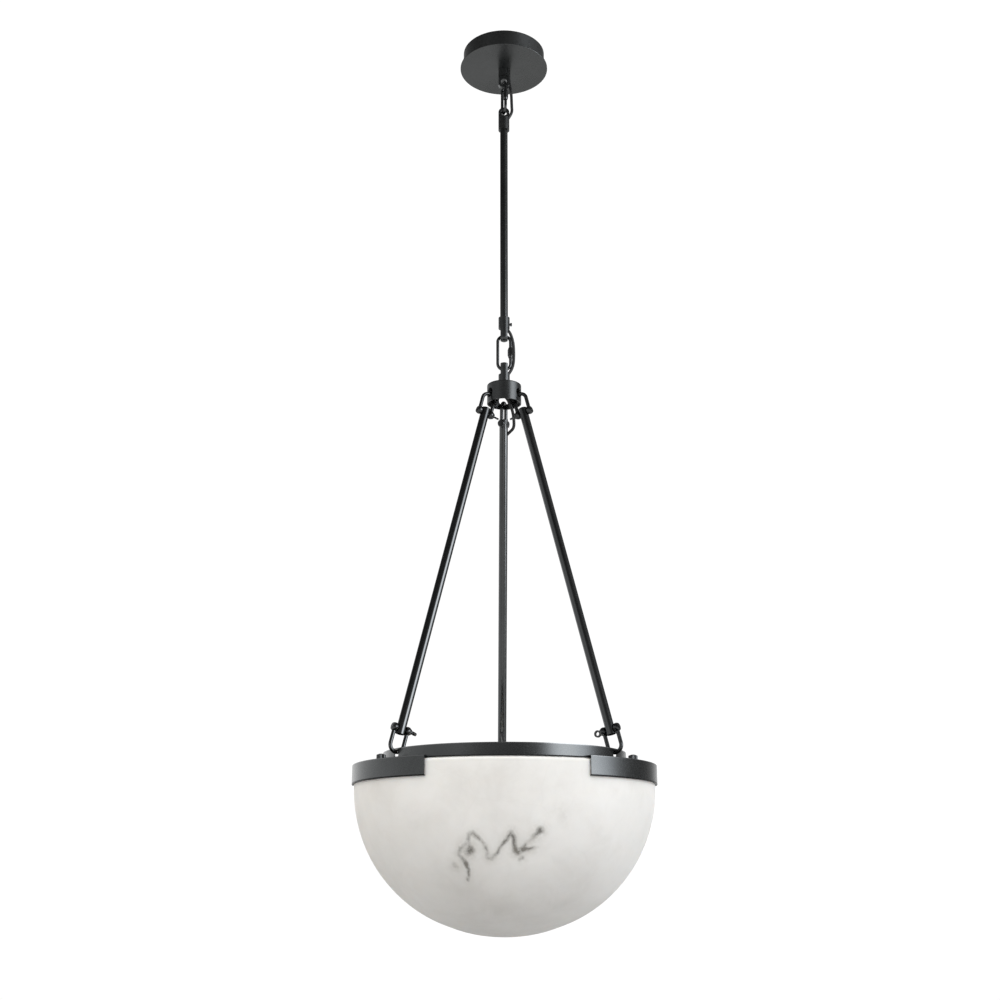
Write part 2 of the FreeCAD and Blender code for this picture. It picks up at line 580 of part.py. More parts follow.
# ---------------------------------------------------------------- inner ring with a flange both ways
ringb = turned("inner_ring_blank", [
    ("ring_rad-ring_wall", "ring_top"), ("ring_rad", "ring_top"), ("ring_rad", "flange_top"), ("flange_out", "flange_top"),
    ("flange_out", "flange_top-flange_thick"), ("flange_in", "flange_top-flange_thick"), ("flange_in", "flange_top"),
    ("ring_rad-ring_wall", "flange_top")])
pd_chamfer(ringb, ringb.Tip, 1.2, lambda e: e.Closed and abs(e.BoundBox.XLength / 2 - D("ring_rad")) < 0.05 and abs(e.BoundBox.ZMax - D("flange_top")) < 0.05, "PartDesign::Fillet")
KNOB_AZ = {-60.0: -60.0, 60.0: 62.5, 180.0: 180.0}
drills = []
for k, az in enumerate(AZ3):
    u = unit(az)
    drills.append(cyl("ring_drill_%d" % k, "ring_hole_rad", 16.0, u * 174.0 + ZED * D("ring_hole_z"), u))
    drills.append(cyl("ring_stud_hole_%d" % k, "nut_bore+0.2", 10.0, unit(KNOB_AZ[az]) * D("knob_r") + ZED * (D("flange_top") - 6)))
for k, az in enumerate((0.0, 120.0, 240.0)):
    drills.append(cyl("ring_bridge_hole_%d" % k, 2.2, 10.0, unit(az) * 173.5 + ZED * (D("flange_top") - 6)))
keep(boolean("Cut", "inner_ring_body", ringb, boolean("Fuse", "ring_drills", *drills)), "inner_ring")

# ---------------------------------------------------------------- rim clamps: C-section segments, 60 degrees each
CT = "band_top"
clamp_pts = [("clamp_in", CT), ("band_rad-0.6", CT), ("band_rad", CT + "-0.6"), ("band_rad", "band_foot"), ("lip_in", "band_foot"), ("lip_in", "band_foot+1.5"),
             ("band_rad-band_wall", "band_foot+1.5"), ("band_rad-band_wall", "band_top-1.4"), ("clamp_in", "band_top-1.4")]
for az in AZ3:
    nm = "rim_clamp_" + names[az]
    b = turned(nm + "_blank", clamp_pts, 60.0, True)
    # the sketch plane is +X; turn the segment to its rod
    b.Placement = Placement(Vector(0, 0, 0), Rotation(ZED, az - 90.0))
    u = unit(KNOB_AZ[az])
    c = boolean("Cut", nm + "_body", b, cyl(nm + "_stud_hole", "nut_bore+0.2", 10.0, u * D("knob_r") + ZED * (D("band_top") - 6)))
    keep(c, nm)

nuts = []
for az in AZ3:
    u = unit(KNOB_AZ[az]) * D("knob_r")
    s = hexnut("rim_nut", 8.0, D("nut_bore"), D("flange_top") - D("flange_thick") - 4.0, 4.0, extra=True)
    s.translate(u)
    nuts.append(s)
feature("rim_nuts", Part.makeCompound(nuts))


def knob(az):
    c = unit(KNOB_AZ[az]) * D("knob_r")
    z0 = D("band_top")
    r, h = D("knob_rad"), D("knob_high")
    ring = []
    n = 24
    for i in range(n * 2):
        rr = r if i % 2 == 0 else r - 0.45
        a = math.pi * i / n
        ring.append(Vector(rr * math.cos(a), rr * math.sin(a), 0))
    s = Part.Face(Part.makePolygon(ring + [ring[0]])).extrude(Vector(0, 0, h - 1.2))
    dome = Part.makeSphere(r * 1.9, Vector(0, 0, h - r * 1.9), ZED)
    cap = Part.makeCone(r - 0.5, r - 1.7, 1.2, Vector(0, 0, h - 1.2))
    s = s.fuse([cap, Part.makeCylinder(D("stud_rad"), 12.5, Vector(0, 0, -12.5)), ])
    s = s.common(dome.fuse(Part.makeCylinder(r + 1, 13.5 + h * 0.3, Vector(0, 0, -13.5))))
    s.translate(c + ZED * z0)
    return s.removeSplitter()


for az in AZ3:
    feature("rim_knob_" + names[az], knob(az))

# ---------------------------------------------------------------- alabaster bowl
# half profile, radius against depth below the rim, read off a fair curve a little fuller than a hemisphere
OUTER = [(1.0000, 0.0), (1.0000, 0.085), (0.9975, 0.170), (0.9860, 0.257), (0.9650, 0.343), (0.9355, 0.426), (0.8975, 0.5055), (0.8515, 0.581),
         (0.7975, 0.6515), (0.7365, 0.7165), (0.6695, 0.776), (0.5965, 0.8285), (0.5190, 0.874), (0.4375, 0.9118), (0.3525, 0.9422), (0.2660, 0.9682),
         (0.1775, 0.9862), (0.0890, 0.9966), (0.0, 1.0)]
BR, BT, BZ, BF = D("bowl_rad"), D("bowl_thick"), D("bowl_rim"), D("bowl_foot")
deep = BZ - BF
outer = [Vector(BR * a, 0, BZ - deep * b) for a, b in OUTER]
inner = [Vector((BR - BT) * a, 0, BZ - (deep - BT - 1.5) * b) for a, b in OUTER]


def fair(pts):
    c = Part.BSplineCurve()
    c.interpolate(Points=pts, InitialTangent=Vector(0, 0, -1), FinalTangent=Vector(-1, 0, 0))
    return c.toShape()


prof = Part.Wire([fair(outer), Part.LineSegment(outer[-1], inner[-1]).toShape(), fair(inner),
                  Part.LineSegment(inner[0], Vector(inner[0].x + 0.0, 0, BZ)).toShape() if abs(inner[0].z - BZ) > 1e-9 else Part.LineSegment(inner[0], outer[0]).toShape()])
bowl = Part.Face(prof).revolve(Vector(0, 0, 0), ZED, 360.0)
if bowl.Volume < 0:
    bowl.reverse()
# short grooves where the clamps' lower lips hook in
for az in AZ3:
    g0 = Part.makeCylinder(BR + 5, 4.1, Vector(0, 0, D("band_foot") - 1.3), ZED, 64.0)
    g1 = Part.makeCylinder(222.3, 6.0, Vector(0, 0, D("band_foot") - 2.3))
    g = g0.cut(g1)
    g.rotate(Vector(0, 0, 0), ZED, az - 90.0 - 32.0)
    bowl = bowl.cut(g)
feature("alabaster_bowl", bowl)
gask = turned("bowl_gasket", [(215.2, "bowl_rim"), ("flange_out-0.8", "bowl_rim"), ("flange_out-0.8", "flange_top-flange_thick"), (215.2, "flange_top-flange_thick")])
keep(gask, "bowl_gasket")

# ---------------------------------------------------------------- lamp bridge, cluster, holders, bulbs
zb = D("flange_top") - D("flange_thick")
arms = [cyl("bridge_hub", 34.0, "bridge_thick", Vector(0, 0, zb - D("bridge_thick")))]
holes = [cyl("bridge_hub_hole", 5.0, 12.0, Vector(0, 0, zb - 8))]
for k, az in enumerate((0.0, 120.0, 240.0)):
    a = box("bridge_arm_%d" % k, 178.0, 18.0, "bridge_thick", Vector(0, 0, 0))
    a.Placement = Placement(Vector(0, 0, zb - D("bridge_thick")), Rotation(ZED, az - 90.0)).multiply(Placement(Vector(0, -9.0, 0), Rotation()))
    arms.append(a)
    holes.append(cyl("bridge_hole_%d" % k, 2.05, 12.0, unit(az) * 173.5 + ZED * (zb - 8)))
keep(boolean("Cut", "lamp_bridge_body", boolean("Fuse", "bridge_arms", *arms), boolean("Fuse", "bridge_holes", *holes)), "lamp_bridge")
sc = []
for k, az in enumerate((0.0, 120.0, 240.0)):
    u = unit(az) * 173.5
    zt2 = D("flange_top")
    sc.append(cyl("bridge_screw_shank_%d" % k, 2.0, 6.5, u + ZED * (zt2 - 6.5)))
    sc.append(cyl("bridge_screw_head_%d" % k, 3.8, 2.4, u + ZED * zt2))
keep(boolean("Fuse", "bridge_screws_body", *sc), "bridge_screws")

zc = zb - D("bridge_thick")
clus = turned("lamp_cluster_blank", [
    (0, zc), ("cluster_rad", zc), ("cluster_rad", zc - 30.0), ("cluster_rad-6", zc - 36.0), (0, zc - 36.0)])
bore = cyl("cluster_bore", 4.9, 12.0, Vector(0, 0, zc - 8.5))
TILT = math.radians(D("lamp_tilt"))
LAMPS = (60.0, 180.0, 300.0)
seats = []
for k, az in enumerate(LAMPS):
    d = unit(az) * math.cos(TILT) - ZED * math.sin(TILT)
    seats.append(cyl("cluster_seat_%d" % k, 16.2, 30.0, unit(az) * 22.0 + ZED * (zc - 17.0), d))
keep(boolean("Cut", "lamp_cluster_body", clus, boolean("Fuse", "cluster_cuts", bore, *seats)), "lamp_cluster")

# cable gland on the bridge, over the cluster
gl = turned("cable_gland", [("cable_rad+0.05", zb + 12.0), (5.2, zb + 12.0), (7.5, zb + 9.0), (7.5, zb), (4.75, zb), (4.75, zc - 8.0), ("cable_rad+0.05", zc - 8.0)])
keep(gl, "cable_gland")

hold_shapes, bulb_shapes = [], []
for k, az in enumerate(LAMPS):
    d = unit(az) * math.cos(TILT) - ZED * math.sin(TILT)
    base = unit(az) * 22.0 + ZED * (zc - 17.0) + d * 0.0
    h = Part.makeCylinder(16.0, 44.0, base, d).cut(Part.makeCylinder(13.2, 30.0, base + d * 15.0, d))
    h = h.fuse(Part.makeCylinder(17.6, 5.0, base + d * 40.0, d).cut(Part.makeCylinder(13.2, 6.0, base + d * 39.5, d)))
    hold_shapes.append(h.removeSplitter())
    # bulb: screw base, neck and round envelope, turned from one half profile
    pts = [(0, 16.5), (5.0, 16.5), (8.0, 19.0), (13.1, 20.0), (13.1, 45.5), (14.2, 47.5), (16.5, 52.0), (21.5, 63.0), (24.5, 74.0), (25.0, 82.0),
           (23.6, 92.0), (19.5, 100.5), (13.0, 106.3), (6.5, 108.6), (0, 109.2)]
    poly = [Vector(a, 0, b) for a, b in pts]
    low = [Part.LineSegment(poly[i], poly[i + 1]).toShape() for i in range(0, 5)]
    sp = Part.BSplineCurve()
    sp.interpolate(Points=poly[5:], FinalTangent=Vector(-1, 0, 0), InitialTangent=Vector(0.35, 0, 1))
    w = Part.Wire(low + [sp.toShape(), Part.LineSegment(poly[-1], poly[0]).toShape()])
    b = Part.Face(w).revolve(Vector(0, 0, 0), ZED, 360.0)
    if b.Volume < 0:
        b.reverse()
    b.Placement = Placement(base, Rotation(ZED, d))
    bulb_shapes.append(b)
    print("bulb", k, "pivot", [round(v, 3) for v in base], "axis", [round(v, 6) for v in d])
feature("lampholders", Part.makeCompound(hold_shapes))
for k, b in enumerate(bulb_shapes):
    feature("bulb_%d" % (k + 1), b)

# ---------------------------------------------------------------- cable: one cord in stretches that meet end to end
CR = D("cable_rad")


def cord(label, route, r=None):
    """round tube along straight runs joined by tangent arcs; prints the radii it used"""
    r = r or CR
    pts = [Vector(*p) for p in route]
    edges, radii = [], []
    start = pts[0]
    total = 0.0
    for i in range(1, len(pts) - 1):
        a, b, c = pts[i - 1], pts[i], pts[i + 1]
        d1, d2 = (b - a), (c - b)
        l1, l2 = d1.Length, d2.Length
        d1.normalize()
        d2.normalize()
        turn = d1.getAngle(d2)
        if turn < 1e-4:
            continue
        rad = 0.45 * min(l1, l2) / math.tan(turn / 2)
        t = rad * math.tan(turn / 2)
        p1, p2 = b - d1 * t, b + d2 * t
        bis = (d2 - d1)
        bis.normalize()
        mid = b + bis * (rad / math.cos(turn / 2) - rad)
        edges.append(Part.LineSegment(start, p1).toShape())
        edges.append(Part.Arc(p1, mid, p2).toShape())
        total += (p1 - start).Length + rad * turn
        start = p2
        radii.append(round(rad, 1))
    edges.append(Part.LineSegment(start, pts[-1]).toShape())
    total += (pts[-1] - start).Length
    s = sweep_round(edges, r)
    want = math.pi * r * r * total
    print("cord %-24s length %.1f  radii %s  volume ratio %.4f" % (label, total, radii, s.Volume / want))
    if abs(s.Volume / want - 1) > 0.01:
        raise RuntimeError("cord volume " + label)
    feature(label, s)
    return total


PUb, PLb, downb, Q0, QE, Q1, QF = BACK
W1 = Vector(0.5299, 0, 0.848)
W2 = Vector(0.6925, 0, -0.7214)
W3 = Vector(0.600, 0, 0.800)


def t3(v):
    return (v.x, v.y, v.z)


cord("cable_canopy", [(-16, 33, -13.0), (-5, 31, -12.0), (4, 25.0, -12.5), (8.5, 17, -15.5), (9, 11, -22.5), (9, 11, -31.3)])
cord("cable_loop_upper_a", [(9, 11, -31.3), (9, 11, -44.0), (11.6, 10.2, -60.0), (13.4, 8.0, -76.0), (13.6, 5.4, -90.0)])
cord("cable_loop_upper_b", [(13.6, 5.4, -90.0), (13.757, 3.357, -101.0), (14.4, 1.4, -112.0), t3(Vector(0, 0, -140) + W1 * 22.5), (0, 0, -140.0), (0, 0, -158.0)])
cord("cable_in_stem", [(0, 0, -158.0), (0, 0, -500.0)])
cord("cable_loop_lower_a", [(0, 0, -500.0), (0, 0, -519.5), t3(Vector(0, 0, -519.5) + W2 * 13.9), (14.0, 3.2, -541.0), (16.2, 7.0, -553.0), (16.2, 7.0, -565.0)])
cord("cable_loop_lower_b", [(16.2, 7.0, -565.0), (16.2, 7.0, -576.0), (14.4, 4.6, -589.0), t3(Vector(0, 0, -613.5) + W3 * 16.5), (0, 0, -613.5), (0, 0, -630.0)])
cord("cable_hub_loop", [(0, 0, -630.0), (0, 0, -640.5), (6.5, 2.0, -648.5), (11.5, 7.0, -657.5), (14.8, 14.0, -666.5), (16.6, 23.0, -676.0), (17.0, 32.5, -686.0),
                        t3(Q0 + QE * 12.5), t3(Q0), t3(Q0 + downb * 13.0)])
cord("cable_in_back_rod", [t3(Q0 + downb * 13.0), t3(Q1 - downb * 14.0)])
cord("cable_bowl", [t3(Q1 - downb * 14.0), t3(Q1), t3(Q1 + QF * 15.0), (3, 141, -1190), (7, 120, -1204), (9.5, 96, -1212), (9.5, 70, -1213.5),
                    (7, 46, -1209), (3.6, 25, -1202), (0.8, 8.0, -1202.5), (0, 0, -1215.0), (0, 0, -1246.0)])

# wire connectors and the leads that run into them
conn, leads = [], []
for k, (y, z) in enumerate(((24.0, -10.5), (36.0, -10.5), (30.5, -21.5))):
    a = Vector(-34, y, z)
    c = Part.makeCone(6.0, 4.0, 19.0, a, Vector(-1, 0, 0))
    c = c.cut(Part.makeCylinder(2.6, 9.0, a + Vector(0.5, 0, 0), Vector(-1, 0, 0)))
    conn.append(c)
    s0 = Vector(-16.0, 33 + (y - 30) * 0.12, -13.0 + (z + 14) * 0.12)
    s0.x = -16.4
    e = [Part.LineSegment(s0, s0 + Vector(-2.0, 0, 0)).toShape()]
    b = Part.BSplineCurve()
    b.interpolate(Points=[s0 + Vector(-2, 0, 0), a + Vector(3.0, 0, 0)], InitialTangent=Vector(-12, 0, 0), FinalTangent=Vector(-12, 0, 0))
    e.append(b.toShape())
    e.append(Part.LineSegment(a + Vector(3.0, 0, 0), a + Vector(-6.0, 0, 0)).toShape())
    leads.append(sweep_round(e, 0.62))
feature("wire_connectors", Part.makeCompound(conn))
feature("supply_leads", Part.makeCompound(leads))

# ---------------------------------------------------------------- checks and writing
doc.recompute()
bad = []
for o in doc.Objects:
    st = list(getattr(o, "State", []))
    if "Invalid" in st or "Error" in st:
        bad.append((o.Name, st))
if bad:
    raise RuntimeError("failed objects: %s" % bad)
os.makedirs("parts", exist_ok=True)
for old in os.listdir("parts"):
    if old.endswith(".step"):
        os.remove(os.path.join("parts", old))
for label, obj in NODES:
    s = obj.Shape
    if s.isNull() or not s.isValid():
        raise RuntimeError("bad shape " + label)
    if not s.Solids:
        raise RuntimeError("no solid " + label)
for label, obj in NODES:
    obj.Shape.exportStep("parts/%s.step" % label)
    bb = obj.Shape.BoundBox
    print("%-22s solids %d  vol %9.0f  x %.1f..%.1f y %.1f..%.1f z %.1f..%.1f" % (label, len(obj.Shape.Solids), obj.Shape.Volume, bb.XMin, bb.XMax, bb.YMin, bb.YMax, bb.ZMin, bb.ZMax))
print(len(NODES), "nodes")
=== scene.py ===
import json
import math
import random

import bmesh
import bpy
from mathutils import Matrix, Vector


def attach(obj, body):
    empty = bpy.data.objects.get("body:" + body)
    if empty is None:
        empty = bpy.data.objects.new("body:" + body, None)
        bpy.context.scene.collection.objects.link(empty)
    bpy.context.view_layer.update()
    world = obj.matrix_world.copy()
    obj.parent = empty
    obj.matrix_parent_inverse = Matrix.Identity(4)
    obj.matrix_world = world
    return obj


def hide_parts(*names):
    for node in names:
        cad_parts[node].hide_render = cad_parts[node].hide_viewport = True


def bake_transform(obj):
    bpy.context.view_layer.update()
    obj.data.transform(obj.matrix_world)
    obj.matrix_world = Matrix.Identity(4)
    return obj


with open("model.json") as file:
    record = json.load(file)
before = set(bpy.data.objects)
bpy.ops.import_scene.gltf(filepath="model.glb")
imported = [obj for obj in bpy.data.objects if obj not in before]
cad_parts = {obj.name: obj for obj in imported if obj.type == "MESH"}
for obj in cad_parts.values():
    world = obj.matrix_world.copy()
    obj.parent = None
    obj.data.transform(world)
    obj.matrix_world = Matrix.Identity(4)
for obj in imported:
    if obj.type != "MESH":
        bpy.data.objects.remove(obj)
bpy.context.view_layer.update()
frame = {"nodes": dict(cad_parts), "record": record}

random.seed(7)
scene = bpy.context.scene

# ------------------------------------------------------------------ camera
# The camera stands 2.05 m from the pendant's axis, a little above the bowl's foot, and looks up by 16 degrees.
PITCH, DIST, HIGH = 0.2813, 2.0527, -1.4121
YAW = math.radians(1.3)          # the pendant is seen turned by this much
PAN = math.atan(4.4 / 1337.95)   # its axis stands a little right of the middle
ROLL = 0.0
cam_data = bpy.data.cameras.new("camera")
cam_data.sensor_width = 36.0
cam_data.lens = 1.33795 * 36.0
cam_data.clip_end = 60.0
cam = bpy.data.objects.new("camera", cam_data)
scene.collection.objects.link(cam)
base = Matrix.Rotation(-YAW, 4, "Z") @ Matrix.Translation((0.0, -DIST, HIGH))
cam.matrix_world = base @ Matrix.Rotation(PAN, 4, "Z") @ Matrix.Rotation(math.pi / 2 + PITCH, 4, "X") @ Matrix.Rotation(ROLL, 4, "Z")
scene.camera = cam
scene.view_settings.view_transform = "Standard"
scene.view_settings.look = "None"


# ------------------------------------------------------------------ node helpers
class Mat:
    def __init__(self, name):
        self.m = bpy.data.materials.new(name)
        self.m.use_nodes = True
        self.t = self.m.node_tree
        self.t.nodes.clear()
        self.out = self.n("ShaderNodeOutputMaterial")
        self.p = self.n("ShaderNodeBsdfPrincipled")
        self.t.links.new(self.p.outputs[0], self.out.inputs["Surface"])
        self.co = self.n("ShaderNodeTexCoord").outputs["Object"]

    def n(self, kind, **kw):
        node = self.t.nodes.new(kind)
        for k, v in kw.items():
            setattr(node, k, v)
        return node

    def link(self, a, b):
        self.t.links.new(a, b)

    def put(self, node, name, v):
        s = node.inputs[name]
        if hasattr(v, "is_output") or isinstance(v, bpy.types.NodeSocket):
            self.link(v, s)
        else:
            s.default_value = v

    def noise(self, scale, detail=4.0, rough=0.55, co=None, distort=0.0):
        k = self.n("ShaderNodeTexNoise")
        self.link(co or self.co, k.inputs["Vector"])
        k.inputs["Scale"].default_value = scale
        k.inputs["Detail"].default_value = detail
        k.inputs["Roughness"].default_value = rough
        k.inputs["Distortion"].default_value = distort
        return k.outputs["Fac"]

    def voronoi(self, scale, co=None, feature="F1", out="Distance"):
        k = self.n("ShaderNodeTexVoronoi", feature=feature)
        self.link(co or self.co, k.inputs["Vector"])
        k.inputs["Scale"].default_value = scale
        return k.outputs[out]

    def ramp(self, fac, stops, interp="LINEAR"):
        k = self.n("ShaderNodeValToRGB")
        k.color_ramp.interpolation = interp
        e = k.color_ramp.elements
        while len(e) > 1:
            e.remove(e[-1])
        for i, (pos, col) in enumerate(stops):
            el = e[0] if i == 0 else e.new(pos)
            el.position = pos
            c = col if isinstance(col, (tuple, list)) else (col, col, col)
            el.color = (*c, 1.0)
        self.link(fac, k.inputs["Fac"])
        return k.outputs["Color"]

    def span(self, fac, a, b, c=0.0, d=1.0, smooth=False):
        k = self.n("ShaderNodeMapRange", interpolation_type="SMOOTHSTEP" if smooth else "LINEAR")
        self.link(fac, k.inputs["Value"])
        for nm, v in (("From Min", a), ("From Max", b), ("To Min", c), ("To Max", d)):
            k.inputs[nm].default_value = v
        return k.outputs["Result"]

    def math(self, op, a, b=None, c=None, clamp=False):
        k = self.n("ShaderNodeMath", operation=op, use_clamp=clamp)
        for i, v in enumerate((a, b, c)):
            if v is None:
                continue
            if isinstance(v, (int, float)):
                k.inputs[i].default_value = v
            else:
                self.link(v, k.inputs[i])
        return k.outputs[0]

    def mix(self, fac, a, b, blend="MIX"):
        k = self.n("ShaderNodeMix", data_type="RGBA", blend_type=blend)
        f, ca, cb = k.inputs[0], k.inputs[6], k.inputs[7]
        for s, v in ((f, fac), (ca, a), (cb, b)):
            if isinstance(v, (int, float)):
                s.default_value = v
            elif isinstance(v, (tuple, list)):
                s.default_value = (*v, 1.0)
            else:
                self.link(v, s)
        return k.outputs[2]

    def bump(self, height, strength, distance, after=None):
        k = self.n("ShaderNodeBump")
        self.link(height, k.inputs["Height"])
        k.inputs["Strength"].default_value = strength
        k.inputs["Distance"].default_value = distance
        if after is not None:
            self.link(after, k.inputs["Normal"])
        return k.outputs["Normal"]

    def sep(self):
        k = self.n("ShaderNodeSeparateXYZ")
        self.link(self.co, k.inputs[0])
        return k.outputs

    def done(self, **kw):
        for k, v in kw.items():
            self.put(self.p, k.replace("_", " "), v)
        return self.m


# ------------------------------------------------------------------ materials
def satin_metal(name, dark, light, metallic=1.0, rough=(0.33, 0.44), painted_edge_heights=None, grain=2600.0):
    m = Mat(name)
    broad = m.noise(9.0, 3.0)
    fine = m.noise(240.0, 3.0, 0.6)
    peel = m.noise(grain, 2.0, 0.5)
    col = m.ramp(m.math("ADD", m.math("MULTIPLY", broad, 0.7), m.math("MULTIPLY", fine, 0.3)), [(0.32, dark), (0.68, light)])
    rub = m.ramp(m.noise(38.0, 6.0, 0.7, distort=0.6), [(0.60, 0.0), (0.74, 1.0)])
    col = m.mix(m.math("MULTIPLY", rub, 0.10), col, tuple(min(1.0, c * 1.55) for c in light))
    if painted_edge_heights:
        # painted shade: a fine dark line along the lower edge, where shadow falls in the gap against the bowl, and a
        # painted highlight along the upper edge
        z = m.sep()[2]
        lo, hi = painted_edge_heights
        # painted shadow line: near-black colour and no metal sheen along the lower edge
        painted_shadow_line = m.span(z, lo + 0.0016, lo + 0.0024, 0.92, 0.0, True)
        col = m.mix(painted_shadow_line, col, (0.006, 0.006, 0.007))
        metallic = m.math("SUBTRACT", 1.0, painted_shadow_line)
        m.put(m.p, "Specular IOR Level", m.math("MULTIPLY", metallic, 0.5))
        # painted highlight: lighter colour along the upper edge
        col = m.mix(m.span(z, hi - 0.0014, hi - 0.0006, 0.0, 0.50, True), col, (0.42, 0.43, 0.44))
    r = m.span(m.math("ADD", m.math("MULTIPLY", fine, 0.5), m.math("MULTIPLY", broad, 0.5)), 0.3, 0.7, rough[0], rough[1])
    nrm = m.bump(peel, 0.05, 0.0001, m.bump(broad, 0.01, 0.001))
    return m.done(Base_Color=col, Metallic=metallic, Roughness=r, Normal=nrm)


GUN = satin_metal("gunmetal", (0.104, 0.109, 0.111), (0.138, 0.144, 0.147), rough=(0.24, 0.33))
# the clamps and the ring carry the painted shadow line and the painted highlight at these edge heights
GUN_CLAMP = satin_metal("gunmetal_clamps", (0.104, 0.109, 0.111), (0.138, 0.144, 0.147), rough=(0.24, 0.33), painted_edge_heights=(-1.2666, -1.2386))
GUN_RING = satin_metal("gunmetal_ring", (0.104, 0.109, 0.111), (0.138, 0.144, 0.147), rough=(0.24, 0.33), painted_edge_heights=(-1.2421, -1.2196))
GUN_DARK = satin_metal("gunmetal_links", (0.090, 0.094, 0.096), (0.125, 0.130, 0.134), rough=(0.16, 0.26))
GUN_ROD = satin_metal("gunmetal_rods", (0.108, 0.113, 0.115), (0.142, 0.148, 0.151), rough=(0.12, 0.18))


def plain(name, a, b, rough=(0.4, 0.5), metallic=0.0, scale=60.0, bump=0.05, dist=0.0003):
    m = Mat(name)
    n1 = m.noise(scale, 4.0)
    n2 = m.noise(scale * 9.0, 3.0)
    col = m.ramp(n1, [(0.35, a), (0.65, b)])
    r = m.span(n2, 0.3, 0.7, rough[0], rough[1])
    return m.done(Base_Color=col, Metallic=metallic, Roughness=r, Normal=m.bump(n2, bump, dist))


WHITE_PAINT = plain("lamp_frame_paint", (0.70, 0.70, 0.69), (0.78, 0.78, 0.77), (0.42, 0.55), 0.0, 30.0)
ZINC = plain("zinc_plate", (0.50, 0.51, 0.50), (0.66, 0.66, 0.63), (0.28, 0.42), 0.95, 45.0)
BRASS = plain("turned_brass", (0.62, 0.45, 0.17), (0.76, 0.58, 0.26), (0.24, 0.36), 0.95, 80.0)
GREEN = plain("ground_green", (0.03, 0.20, 0.07), (0.05, 0.28, 0.10), (0.30, 0.40), 0.6, 120.0)
GASKET = plain("gasket_rubber", (0.60, 0.60, 0.58), (0.70, 0.70, 0.68), (0.65, 0.80), 0.0, 90.0, 0.1)
PORCELAIN = plain("porcelain", (0.80, 0.79, 0.75), (0.86, 0.85, 0.82), (0.16, 0.26), 0.0, 25.0, 0.02)
GLAND = plain("gland_black", (0.016, 0.016, 0.017), (0.026, 0.026, 0.028), (0.45, 0.60), 0.0, 90.0)
CABLE = plain("cable_jacket", (0.018, 0.019, 0.020), (0.030, 0.031, 0.033), (0.34, 0.48), 0.0, 140.0, 0.06, 0.0002)
CONNECT = plain("connector_plastic", (0.66, 0.33, 0.06), (0.74, 0.40, 0.09), (0.38, 0.50), 0.0, 60.0)
LEAD = plain("lead_insulation", (0.74, 0.74, 0.72), (0.82, 0.82, 0.80), (0.35, 0.45), 0.0, 60.0)

mb = Mat("bulb_opal")
haze = mb.noise(30.0, 3.0)
OPAL = mb.done(Base_Color=mb.ramp(haze, [(0.3, (0.86, 0.85, 0.81)), (0.7, (0.92, 0.91, 0.88))]), Roughness=mb.span(haze, 0.3, 0.7, 0.22, 0.30),
               Normal=mb.bump(mb.noise(500.0, 2.0), 0.03, 0.0001))

BY_SLOT = {"gunmetal": GUN, "lamp_frame": WHITE_PAINT, "zinc_steel": ZINC, "brass_thread": BRASS, "ground_green": GREEN, "gasket_rubber": GASKET,
           "porcelain": PORCELAIN, "bulb_opal": OPAL, "gland_black": GLAND, "connector_plastic": CONNECT, "lead_insulation": LEAD, "cable_black": CABLE}
SLOT_OF = {s["node"]: s["material_slot"] for s in frame["record"]["subparts"]}


def dress(obj, mat):
    obj.data.materials.clear()
    obj.data.materials.append(mat)


# ------------------------------------------------------------------ cords
# Each stretch of cable is one smooth spline on its own centreline. It hangs from the ceiling joint box to the lamp cluster, inside or between the fittings.
CABLE_DIA = 0.005
TUBES = {}


def cable(name, pts, body=None, node=None):
    cu = bpy.data.curves.new(name, "CURVE")
    cu.dimensions = "3D"
    sp = cu.splines.new("NURBS")
    sp.points.add(len(pts) - 1)
    for p, q in zip(sp.points, pts):
        p.co = (q[0], q[1], q[2], 1.0)
    sp.order_u = 3
    sp.use_endpoint_u = True
    sp.resolution_u = 24
    line = bpy.data.objects.new(name + "_line", cu)
    scene.collection.objects.link(line)
    bpy.context.view_layer.update()
    if body:
        cu.bevel_depth = CABLE_DIA / 2
        cu.bevel_resolution = 8
        cu.use_fill_caps = True
        line.name = name
        dress(line, CABLE)
        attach(line, body)
        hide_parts(node)
        TUBES[name] = line
        return line
    # a mesh tube where the cable bends between two bodies
    got = bpy.data.meshes.new_from_object(line)
    cu.bevel_depth = CABLE_DIA / 2
    cu.bevel_resolution = 8
    cu.use_fill_caps = True
    bpy.context.view_layer.update()
    me = bpy.data.meshes.new_from_object(line)
    me.name = name
    ob = bpy.data.objects.new(name, me)
    scene.collection.objects.link(ob)
    bpy.data.objects.remove(line)
    for poly in me.polygons:
        poly.use_smooth = True
    dress(ob, CABLE)
    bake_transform(ob)
    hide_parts(node)
    TUBES[name] = ob
    return ob


cable("cord_canopy", [(-0.016, 0.033, -0.013), (-0.005, 0.031, -0.012), (0.004, 0.025, -0.0125), (0.0085, 0.017, -0.0155), (0.009, 0.011, -0.0225),
                      (0.009, 0.011, -0.0313)], body="canopy", node="cable_canopy")
cable("cord_loop_upper_a", [(0.009, 0.011, -0.0313), (0.009, 0.011, -0.044), (0.0116, 0.0102, -0.060), (0.0134, 0.008, -0.076), (0.0136, 0.0054, -0.090)],
      node="cable_loop_upper_a")
cable("cord_loop_upper_b", [(0.0136, 0.0054, -0.090), (0.013757, 0.003357, -0.101), (0.0144, 0.0014, -0.112), (0.01192275, 0, -0.12092), (0, 0, -0.140),
                            (0, 0, -0.158)],
      node="cable_loop_upper_b")
cable("cord_in_stem", [(0, 0, -0.158), (0, 0, -0.500)], body="stem", node="cable_in_stem")
cable("cord_loop_lower_a", [(0, 0, -0.500), (0, 0, -0.5195), (0.00962575, 0, -0.52952746), (0.0140, 0.0032, -0.541), (0.0162, 0.007, -0.553), (0.0162, 0.007, -0.565)],
      node="cable_loop_lower_a")
